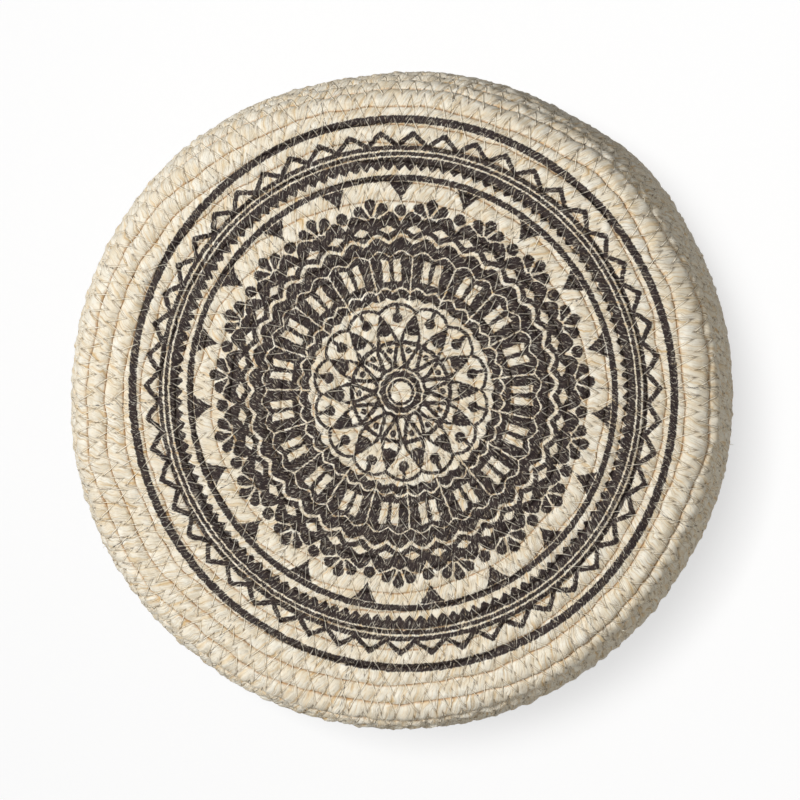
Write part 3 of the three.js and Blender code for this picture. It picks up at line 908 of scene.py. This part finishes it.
def ink_on(place_mm, lean, across, fibre):
    """The ink's colour, and how much of the husk it covers."""
    speck = lean.vector(across * 0.35).noise(0.85, 3, 0.7)
    depth = print_depth(place_mm)
    cover = (depth + 0.12 + (0.5 - speck) * 2.2).ramp(-0.15, 0.3)
    cover = cover.most(depth.ramp(-2.6, -0.3) * fibre.ramp(0.55, 0.62) * 0.6)
    bare = speck.ramp(0.56, 0.66) * 0.55 + (1 - fibre.ramp(0.3, 0.43)) * 0.4
    thin = place_mm.noise(0.35, 2, 0.5).ramp(0.3, 0.7)
    return thin.between(INK, WORN_INK), cover * (1 - bare.clamped())


# %% Husk
CREAM, PALE_CREAM = colour(238, 225, 200), colour(253, 247, 232)
STRAW, TAN = colour(226, 196, 144), colour(212, 168, 104)
DARK_FIBRE, LIGHT_FIBRE = colour(158, 128, 84), colour(255, 251, 238)
# The seam, crease and hole colours are painted shade; the seam's colour is partly also its darker husk.
SEAM_HUSK_AND_SHADE, CREASE_SHADE, HOLE_SHADE = colour(206, 156, 94), colour(146, 116, 76), colour(84, 62, 40)
HUSK_BUMP, CREASE_BUMP = 1.6, 0.4


def husk_material(name, printed):
    made, shader, place_mm = new_material(name, Specular_IOR_Level=0.15)
    on_rope = place_mm.node("ShaderNodeAttribute", output="Vector", attribute_name="on_rope")
    stitches = place_mm.node("ShaderNodeAttribute", output="Vector", attribute_name="stitches")
    along, across = on_rope.part("X"), on_rope.part("Y")
    crease, hole = stitch_marks(across, stitches.part("X"), stitches.part("Y"))

    # fibres and strips, along lines that lean over the rope
    sway = on_rope.scaled((0.09, 0.16, 1)).noise(1, 2, 0.5)
    lean = along + across * (sway * 2.4 + (FIBRE_LEAN - 1.2))
    fibre = lean.vector(across * 0.07).noise(1.0, 4, 0.7)
    strip = lean.vector(across * 0.12).noise(0.3, 3, 0.6)
    patch = place_mm.noise(0.022, 3, 0.6)
    blotch = on_rope.scaled((0.05, 0.13, 1)).noise(1, 3, 0.6)

    # colours, from the widest to the finest
    husk = blotch.ramp(0.35, 0.65).between(CREAM, PALE_CREAM)
    husk = husk.mix(STRAW, strip.ramp(0.48, 0.68) * 0.8)
    husk = husk.mix(TAN, strip.ramp(0.55, 0.75) * patch.ramp(0.4, 0.6) * 0.8)
    husk = husk.mix(DARK_FIBRE, fibre.ramp(0.54, 0.7) * 0.8)
    husk = husk.mix(LIGHT_FIBRE, (1 - fibre.ramp(0.3, 0.47)) * 0.7)
    # The seam: partly its darker husk, partly painted shade in the groove between the rows, in patches.
    seam = abs(across).ramp(HALF_ROW - 0.8, HALF_ROW - 0.1)
    patchy = on_rope.scaled((0.12, 0, 0)).noise(1, 2, 0.6).ramp(0.38, 0.62)
    husk = husk.mix(SEAM_HUSK_AND_SHADE, seam * (patchy * 0.65 + 0.05))
    # Painted shade along the creases that the stitches pull in.
    husk = husk.mix(CREASE_SHADE, crease * 0.5)
    # Painted shade in the needle holes.
    husk = husk.mix(HOLE_SHADE, hole * (0.35 if printed else 0.5))
    rough = strip * 0.3 + 0.55
    if printed:
        ink, cover = ink_on(place_mm, lean, across, fibre)
        husk = husk.mix(ink, cover)
        rough = rough - cover * 0.2

    normal = (fibre * 0.6 + strip * 0.6).bump(HUSK_BUMP)
    normal = (1 - crease * 0.7 - hole).bump(CREASE_BUMP, over=normal)
    finish_with(shader, Base_Color=husk, Roughness=rough, Normal=normal)
    return made


# %% Thread's material
def thread_material(name, printed):
    made, shader, place_mm = new_material(name, Specular_IOR_Level=0.2)
    twist = place_mm.noise(1.3, 2, 0.5)
    thread = twist.ramp(0.4, 0.7).between(colour(255, 250, 236), colour(236, 220, 186))
    if printed:
        patchy = place_mm.noise(0.16, 2, 0.6).ramp(0.4, 0.6)
        cover = print_depth(place_mm).ramp(-0.2, 0.2) * (0.9 - patchy * 0.5)
        thread = thread.mix(colour(58, 50, 49), cover)
    finish_with(shader, Base_Color=thread, Roughness=0.45 + twist * 0.2, Normal=twist.bump(0.1))
    return made


printed_husk = husk_material("printed_husk", True)
plain_husk = husk_material("plain_husk", False)
printed_thread = thread_material("printed_thread", True)
plain_thread = thread_material("plain_thread", False)
print({m.name: len(m.node_tree.nodes) for m in (printed_husk, plain_husk, printed_thread, plain_thread)})


# %% Dressing
def dress(made, material, slot, *nodes):
    """Gives a piece its material and its body, and hides the CAD nodes that it stands for. The slot is not
    used.
    """
    made.data.materials.append(material)
    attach(made, "root")
    if nodes:
        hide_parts(*nodes)


for made in seat_ropes:
    dress(made, printed_husk, "husk_rope", "seat_rope")
for made in wall_ropes:
    dress(made, plain_husk, "husk_rope", "wall_rope")
for made in seat_threads:
    dress(made, printed_thread, "husk_rope")
for made in wall_threads + strays:
    dress(made, plain_thread, "husk_rope")

# %% [markdown]
# ## Padding and cloths under the rope
#
# Under the seat rope lie a cloth liner and a foam pad, and felted wadding goes round the drum. None of them
# shows, but each is made in its own place: spun from the outline at its own depth, so that it follows the
# uneven rim too. Foam that is cut to shape and cloth that is pulled tight neither hang nor swell, so a cloth
# simulation would change nothing here.
#
# The hem tape runs round under the base ring, and the black cover closes the underside. The cover is tacked
# at its edge, so it sags a little in the middle and puckers from tack to tack.

# %% Spun pieces
CLOTH_GAP = 0.3
ROUND_STEPS = 144
round_angles = np.arange(ROUND_STEPS) * FULL_TURN / ROUND_STEPS


def under_rope(distance, depth):
    """A loop of points round the stool, at a depth under the rope's centre line."""
    radius, level, slope = outline(distance)
    reach = radius - depth * np.sin(slope) + bulge_out(distance, round_angles)
    return loop(reach, level - depth * np.cos(slope) + shoulder_lift(distance, round_angles))


def loop(reach, level):
    reach = reach + 0 * round_angles
    return np.stack([reach * np.cos(round_angles), reach * np.sin(round_angles), level + 0 * reach], -1)


def distance_at(height, depth):
    """How far along the outline the line at that depth comes down to a height."""
    table = np.linspace(0, outline_length, 4000)
    _, level, slope = outline(table)
    return np.interp(-height, depth * np.cos(slope) - level, table)


def spun_object(name, loops, hollow):
    """A closed skin over loops of points. It closes on the axis, or if hollow from last loop to first."""
    loops = np.array(loops)
    count = len(loops)
    here = np.arange(count if hollow else count - 1)[:, None]
    step = np.arange(ROUND_STEPS)[None, :]
    after = (step + 1) % ROUND_STEPS
    ahead = (here + 1) % count
    quads = np.stack([here * ROUND_STEPS + step, ahead * ROUND_STEPS + step,
                      ahead * ROUND_STEPS + after, here * ROUND_STEPS + after], -1).reshape(-1, 4)
    points = loops.reshape(-1, 3)
    if hollow:
        return mesh_object(name, points, [quads])
    first, last = len(points), len(points) + 1
    start, end = step[0], step[0] + (count - 1) * ROUND_STEPS
    fan = np.stack([0 * start + first, start, after[0]], -1)
    back = np.stack([0 * start + last, after[0] + (count - 1) * ROUND_STEPS, end], -1)
    points = np.concatenate([points, [loops[0].mean(0), loops[-1].mean(0)]])
    return mesh_object(name, points, [quads, np.concatenate([fan, back])])


# %% Liner and pads
LINER_DEPTH = ROPE_RADIUS * math.cos(math.pi / 5) + CLOTH_GAP
LINER_THICKNESS = 1
LINER_REACH = 193.4
LINER_FRAYS, FRAY_DEPTH = 61, 0.5
PAD_THICKNESS = 36
PAD_TOP_DEPTH = LINER_DEPTH + LINER_THICKNESS + CLOTH_GAP
PAD_BOTTOM = top_line - PAD_TOP_DEPTH - PAD_THICKNESS
PAD_EDGE = 3
WADDING_DEPTH = ROPE_RADIUS + CLOTH_GAP
WADDING_INNER = 171.6
WADDING_BOTTOM = 19.8
WADDING_EDGE = 0.8
WADDING_LUMPS = 0.3

quarter = np.linspace(0, math.pi / 2, 5)
ragged = LINER_REACH - FRAY_DEPTH * (1 + np.sin(round_angles * LINER_FRAYS))
# mm along the outline, closest round the shoulder
cloth_rows = np.concatenate([np.linspace(4, 165, 36), np.linspace(168, 190, 16)])
top = [under_rope(d, LINER_DEPTH) for d in (*cloth_rows, ragged)]
under = [under_rope(d, LINER_DEPTH + LINER_THICKNESS) for d in (ragged, *cloth_rows[::-1])]
seat_liner = spun_object("seat_liner_cloth", top + under, False)

edge_at = distance_at(PAD_BOTTOM + PAD_EDGE, PAD_TOP_DEPTH)
crown = [under_rope(d, PAD_TOP_DEPTH) for d in (*cloth_rows, *np.linspace(194, edge_at, 14))]
rim = np.hypot(crown[-1][:, 0], crown[-1][:, 1])
corner = [loop(rim - PAD_EDGE * (1 - math.cos(a)), PAD_BOTTOM + PAD_EDGE * (1 - math.sin(a)))
          for a in quarter[1:]]
base = [loop((rim - PAD_EDGE) * share, PAD_BOTTOM) for share in (0.7, 0.35, 0.03)]
seat_pad = spun_object("seat_pad_foam", crown + corner + base, False)

wadding_rows = np.linspace(distance_at(PAD_BOTTOM - CLOTH_GAP - 1, WADDING_DEPTH),
                           distance_at(WADDING_BOTTOM + 1, WADDING_DEPTH), 60)
outer = []
for distance in wadding_rows:
    surface = under_rope(distance, WADDING_DEPTH)
    lumps = WADDING_LUMPS * np.abs(waves(surface, 26, 11)) * np.clip((surface[:, 2] - 30) / 40, 0, 1)
    outer.append(under_rope(distance, WADDING_DEPTH + lumps))
top_reach, low_reach = (np.hypot(row[:, 0], row[:, 1]) - WADDING_EDGE for row in (outer[0], outer[-1]))
inner = [loop(WADDING_INNER, z) for z in np.linspace(WADDING_BOTTOM, PAD_BOTTOM - CLOTH_GAP, 12)]
wall_pad = spun_object("wall_pad_wadding", [
    loop(top_reach, PAD_BOTTOM - CLOTH_GAP), *outer, loop(low_reach, WADDING_BOTTOM), *inner], True)
print({o.name: len(o.data.polygons) for o in (seat_liner, seat_pad, wall_pad)})

# %% Cloths of the underside
CLOTH_THICKNESS = 0.8
HEM_RADII = (118.7, 166.7)
HEM_BOTTOM = under_line + ROPE_RADIUS + CLOTH_GAP
COVER_MARGIN = 3
COVER_RADIUS = bend_radius[-1] - TUCK_RUN - ROPE_RADIUS - COVER_MARGIN
COVER_TOP = HEM_BOTTOM - CLOTH_GAP
COVER_SAG = 1.8
COVER_PUCKER = 0.25
TACKS = 8

hem_radii = np.linspace(*HEM_RADII, 12)
hem_tape = spun_object("hem_tape_cloth", [
    *[loop(r, HEM_BOTTOM + CLOTH_THICKNESS) for r in hem_radii],
    *[loop(r, HEM_BOTTOM) for r in hem_radii[::-1]]], True)


def cover_level(reach):
    """Height of the cover's upper face: it hangs lowest in the middle and puckers near its edge."""
    hang = COVER_SAG * (1 - smooth_step(reach, 0, 0.62 * COVER_RADIUS))
    pucker = COVER_PUCKER * (1 - np.cos(round_angles * TACKS + math.pi))
    return COVER_TOP - hang - pucker * smooth_step(reach, 0.9 * COVER_RADIUS, COVER_RADIUS)


cover_radii = [*np.linspace(4, COVER_RADIUS - 6, 30), *np.linspace(COVER_RADIUS - 5, COVER_RADIUS, 6)]
dust_cover = spun_object("dust_cover_cloth", [
    *[loop(r, cover_level(r)) for r in cover_radii],
    *[loop(r, cover_level(r) - CLOTH_THICKNESS) for r in cover_radii[::-1]]], False)
print({o.name: len(o.data.polygons) for o in (hem_tape, dust_cover)}, "cover radius", round(COVER_RADIUS, 1))

# %% [markdown]
# ## Cloth, foam and wadding
#
# Plain cloth is a weave: threads across and threads along take turns on top, which the product of two
# cosines gives. The cover is pressed fibre, black, with a grid of small pressed points. Foam is full of
# fine pores, and the wadding is felt of waste fibre, grey-beige with flecks of many colours.

# %% Soft materials
def woven_material(name, light, dark, thread_pitch):
    made, shader, place_mm = new_material(name, Roughness=0.9, Specular_IOR_Level=0.2)
    beat = math.pi / thread_pitch
    weave = (place_mm.part("X") * beat).cos() * (place_mm.part("Y") * beat).cos()
    slub = place_mm.scaled((0.1, 1.2, 1)).noise(1, 3, 0.6)
    over = abs(weave).ramp(0, 1)
    # Darker between the thread crowns: painted shade, mixed half and half with the slub's own tone.
    shade = over * 0.5 + slub.ramp(0.35, 0.65) * 0.5
    finish_with(shader, Base_Color=shade.between(dark, light), Normal=(over + slub * 0.5).bump(0.2))
    return made


def cover_material():
    made, shader, place_mm = new_material("pressed_cover", Roughness=0.85, Specular_IOR_Level=0.25)
    x, y = place_mm.part("X"), place_mm.part("Y")
    point = 1 - far_from(x.fold(1.1), y.fold(1.1)).ramp(0.3, 0.55)
    fibre = place_mm.noise(1.4, 4, 0.7)
    cloth = fibre.ramp(0.35, 0.65).between(colour(38, 38, 41), colour(74, 74, 78))
    cloth = cloth.mix(colour(26, 26, 28), point)
    finish_with(shader, Base_Color=cloth, Normal=(fibre * 0.6 - point).bump(0.2))
    return made


def foam_material():
    made, shader, place_mm = new_material("cut_foam", Roughness=0.95, Specular_IOR_Level=0.1)
    pore = place_mm.noise(0.9, 3, 0.7)
    age = place_mm.noise(0.02, 2, 0.5).ramp(0.35, 0.65)
    foam = age.between(colour(240, 228, 186), colour(228, 206, 148))
    # Darker in the pores: painted shade in them.
    foam = foam.mix(colour(186, 164, 112), (1 - pore.ramp(0.34, 0.44)) * 0.7)
    finish_with(shader, Base_Color=foam, Normal=pore.ramp(0.3, 0.5).bump(0.4))
    return made


def wadding_material():
    made, shader, place_mm = new_material("felt_wadding", Roughness=1.0, Specular_IOR_Level=0.1)
    fibre = place_mm.scaled((0.5, 0.5, 1.6)).noise(1, 5, 0.75)
    fleck = place_mm.noise(0.35, 3, 0.6, output=1)
    felt = fibre.ramp(0.4, 0.6).between(colour(196, 186, 168), colour(150, 142, 130))
    felt = felt.mix(colour(74, 92, 122), fleck.part("X").ramp(0.62, 0.66) * 0.8)
    felt = felt.mix(colour(150, 74, 60), fleck.part("Y").ramp(0.64, 0.68) * 0.8)
    felt = felt.mix(colour(238, 234, 226), fleck.part("Z").ramp(0.6, 0.64) * 0.8)
    finish_with(shader, Base_Color=felt, Normal=fibre.bump(1.2))
    return made


# %% Cloths and pads dressed
liner_weave = woven_material("liner_weave", colour(226, 219, 202), colour(188, 178, 156), 0.9)
tape_weave = woven_material("tape_weave", colour(222, 210, 182), colour(180, 165, 132), 0.6)
dress(seat_liner, liner_weave, "liner_cloth", "seat_liner")
dress(seat_pad, foam_material(), "foam", "seat_pad")
dress(wall_pad, wadding_material(), "wadding", "wall_pad")
dress(hem_tape, tape_weave, "tape_cloth", "hem_tape")
dress(dust_cover, cover_material(), "dust_cloth", "dust_cover")

# %% [markdown]
# ## Wood, metal and plastic
#
# These pieces keep their CAD shapes and only get a finish. Plywood shows long grain on its faces and its
# thin layers, light and dark in turn, on its edges. The posts are softwood, with grain up and down. The
# drum's skin is brown hardboard, the screws and tacks are zinc plated, and the feet are black plastic with
# the fine matt skin of a mould.

# %% Hard materials
def grain_colour(place_mm, lengthwise, light, dark):
    """Wood: growth lines stretched along one direction, and fine short pores."""
    bands = place_mm.scaled([0.004 if axis in lengthwise else 0.05 for axis in "XYZ"]).noise(1, 3, 0.5)
    line = (bands * 16).fold(0.5) * 2
    pores = place_mm.scaled([0.06 if axis in lengthwise else 1.3 for axis in "XYZ"]).noise(1, 3, 0.65)
    shade = line ** 2 * 0.6 + pores.ramp(0.5, 0.7) * 0.4
    return shade.between(light, dark), line * 0.3 + pores


def plywood_material():
    made, shader, place_mm = new_material("plywood", Specular_IOR_Level=0.3)
    face, rough = grain_colour(place_mm, "X", colour(218, 188, 140), colour(178, 140, 92))
    layer = ((place_mm.part("Z") / 3).fold(0.5) * 2).ramp(0.45, 0.55)
    edge = (layer * 0.8).between(colour(206, 172, 122), colour(148, 110, 70))
    up = abs(place_mm.node("ShaderNodeTexCoord", output="Normal").part("Z"))
    wood = face.mix(edge, 1 - up.ramp(0.3, 0.6))
    finish_with(shader, Base_Color=wood, Roughness=rough * 0.2 + 0.5, Normal=rough.bump(0.15))
    return made


def batten_material():
    made, shader, place_mm = new_material("batten_wood", Specular_IOR_Level=0.3)
    wood, rough = grain_colour(place_mm, "Z", colour(226, 196, 146), colour(190, 142, 84))
    knot = place_mm.scaled((0.05, 0.05, 0.02)).noise(1, 1, 0.4)
    wood = wood.mix(colour(132, 84, 46), knot.ramp(0.72, 0.78))
    finish_with(shader, Base_Color=wood, Roughness=rough * 0.2 + 0.55, Normal=rough.bump(0.2))
    return made


def hardboard_material():
    made, shader, place_mm = new_material("hardboard", Specular_IOR_Level=0.4)
    chip = place_mm.scaled((0.6, 0.6, 0.6)).noise(1, 4, 0.7)
    board = chip.ramp(0.4, 0.6).between(colour(132, 92, 58), colour(98, 64, 40))
    board = board.mix(colour(168, 126, 84), chip.ramp(0.66, 0.72) * 0.7)
    finish_with(shader, Base_Color=board, Roughness=chip * 0.25 + 0.4, Normal=chip.bump(0.05))
    return made


def zinc_material():
    made, shader, place_mm = new_material("zinc_plate", Metallic=1.0)
    cloud = place_mm.noise(0.4, 4, 0.65)
    plate = cloud.ramp(0.4, 0.65).between(colour(206, 208, 212), colour(176, 176, 172))
    finish_with(shader, Base_Color=plate, Roughness=cloud * 0.3 + 0.2, Normal=cloud.bump(0.03))
    return made


def plastic_material():
    made, shader, place_mm = new_material("foot_plastic", Specular_IOR_Level=0.45)
    skin = place_mm.noise(2.2, 2, 0.5)
    scuff = place_mm.scaled((0.12, 0.12, 0.5)).noise(1, 3, 0.6).ramp(0.55, 0.7)
    plastic = scuff.between(colour(34, 34, 36), colour(52, 52, 54))
    finish_with(shader, Base_Color=plastic, Roughness=scuff * 0.2 + 0.45, Normal=skin.bump(0.08))
    return made


# %% Finishes of the CAD nodes
plywood, zinc = plywood_material(), zinc_material()
finishes = {
    "seat_board": plywood, "middle_hoop": plywood, "base_ring": plywood, "drum_skin": hardboard_material(),
    "post": batten_material(), "foot": plastic_material(), "seat_board_screw": zinc, "base_ring_screw": zinc,
    "skin_tack": zinc, "cover_tack": zinc, "foot_screw": zinc,
}
replaced = {"seat_rope", "wall_rope", "seat_liner", "seat_pad", "wall_pad", "hem_tape", "dust_cover"}
for name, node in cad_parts.items():
    if name not in replaced:
        node.data.materials.clear()
        node.data.materials.append(finishes[name.rstrip("0123456789").rstrip("_")])
print("CAD nodes with a finish of their own:", len(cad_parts) - len(replaced))

# %% [markdown]
# ## Floor and light
#
# The photograph was taken on white, with light from the left, and a faint shadow lies at the bottom right. So
# the stool has a key light high up on its left and a weaker, warmer one on its right, and both leave out the
# floor. The floor has a light of its own, nearly straight above, that gives it the short shadow. Where the
# camera looks at the floor or past it, both are made to look white, and they light the stool no more for it.

# %% What the camera sees white
def seen(of_tree):
    """1 for rays that look at a thing straight, in gloss or through glass, and 0 for rays of soft light."""
    looks = [of_tree.node("ShaderNodeLightPath", output=f"Is {kind} Ray")
             for kind in ("Camera", "Glossy", "Transmission")]
    return looks[0].most(looks[1]).most(looks[2])


# %% Floor and sky
FLOOR_REACH = 12.0
FLOOR_GREY = 0.4
FLOOR_GLOW = 0.64
SKY_LIGHT = 0.17

floor_mesh = bpy.data.meshes.new("floor")
corners = [(x * FLOOR_REACH, y * FLOOR_REACH, 0) for x, y in ((-1, -1), (1, -1), (1, 1), (-1, 1))]
floor_mesh.from_pydata(corners, [], [(0, 1, 2, 3)])
floor = bpy.data.objects.new("floor", floor_mesh)
bpy.context.scene.collection.objects.link(floor)
floor_material, floor_shader, floor_place = new_material(
    "floor", Base_Color=(FLOOR_GREY, FLOOR_GREY, FLOOR_GREY, 1), Roughness=0.9,
    Specular_IOR_Level=0.0, Emission_Strength=1.0)
glow = seen(floor_place) * FLOOR_GLOW
finish_with(floor_shader, Emission_Color=glow.vector(glow, glow))
floor_mesh.materials.append(floor_material)

world = bpy.data.worlds.new("studio")
bpy.context.scene.world = world
world.use_nodes = True
sky = world.node_tree.nodes["Background"]
sky.inputs["Color"].default_value = (1, 1, 1, 1)
sky_light = seen(Wire(world.node_tree, None)) * (1 - SKY_LIGHT) + SKY_LIGHT
feed(world.node_tree, sky.inputs["Strength"], sky_light)
print("floor", 2 * FLOOR_REACH, "m wide")


# %% Lights
LIGHT_DISTANCE = 2.5
AIM_POINT = (0, 0, 0.2)


def softbox(name, bearing, elevation, size, power, tint=(1, 1, 1)):
    """A square light. Its bearing is in degrees clockwise from the photograph's top; it faces the stool."""
    turn, rise = math.radians(bearing), math.radians(elevation)
    away = np.array([math.sin(turn) * math.cos(rise), math.cos(turn) * math.cos(rise), math.sin(rise)])
    data = bpy.data.lights.new(name, "AREA")
    data.shape = "SQUARE"
    data.size = size
    data.energy = power
    data.color = tint
    made = bpy.data.objects.new(name, data)
    made.location = (away * LIGHT_DISTANCE + AIM_POINT).tolist()
    made.rotation_mode = "QUATERNION"
    made.rotation_quaternion = Vector(away.tolist()).to_track_quat("Z", "Y")
    bpy.context.scene.collection.objects.link(made)
    return made


def light_floor(light, state):
    """Makes a light leave out the floor (EXCLUDE) or shine on nothing else (INCLUDE)."""
    receivers = bpy.data.collections.new(light.name + "_receivers")
    receivers.objects.link(floor)
    light.light_linking.receiver_collection = receivers
    receivers.collection_objects[0].light_linking.link_state = state


light_floor(softbox("key_light", 290, 60, 0.5, 51), "EXCLUDE")
light_floor(softbox("fill_light", 112, 48, 1.0, 11, (1, 0.96, 0.88)), "EXCLUDE")
light_floor(softbox("floor_light", 22, 81.8, 0.36, 51), "INCLUDE")
bpy.context.scene.view_settings.view_transform = "Standard"
print("lights:", len(bpy.data.lights))
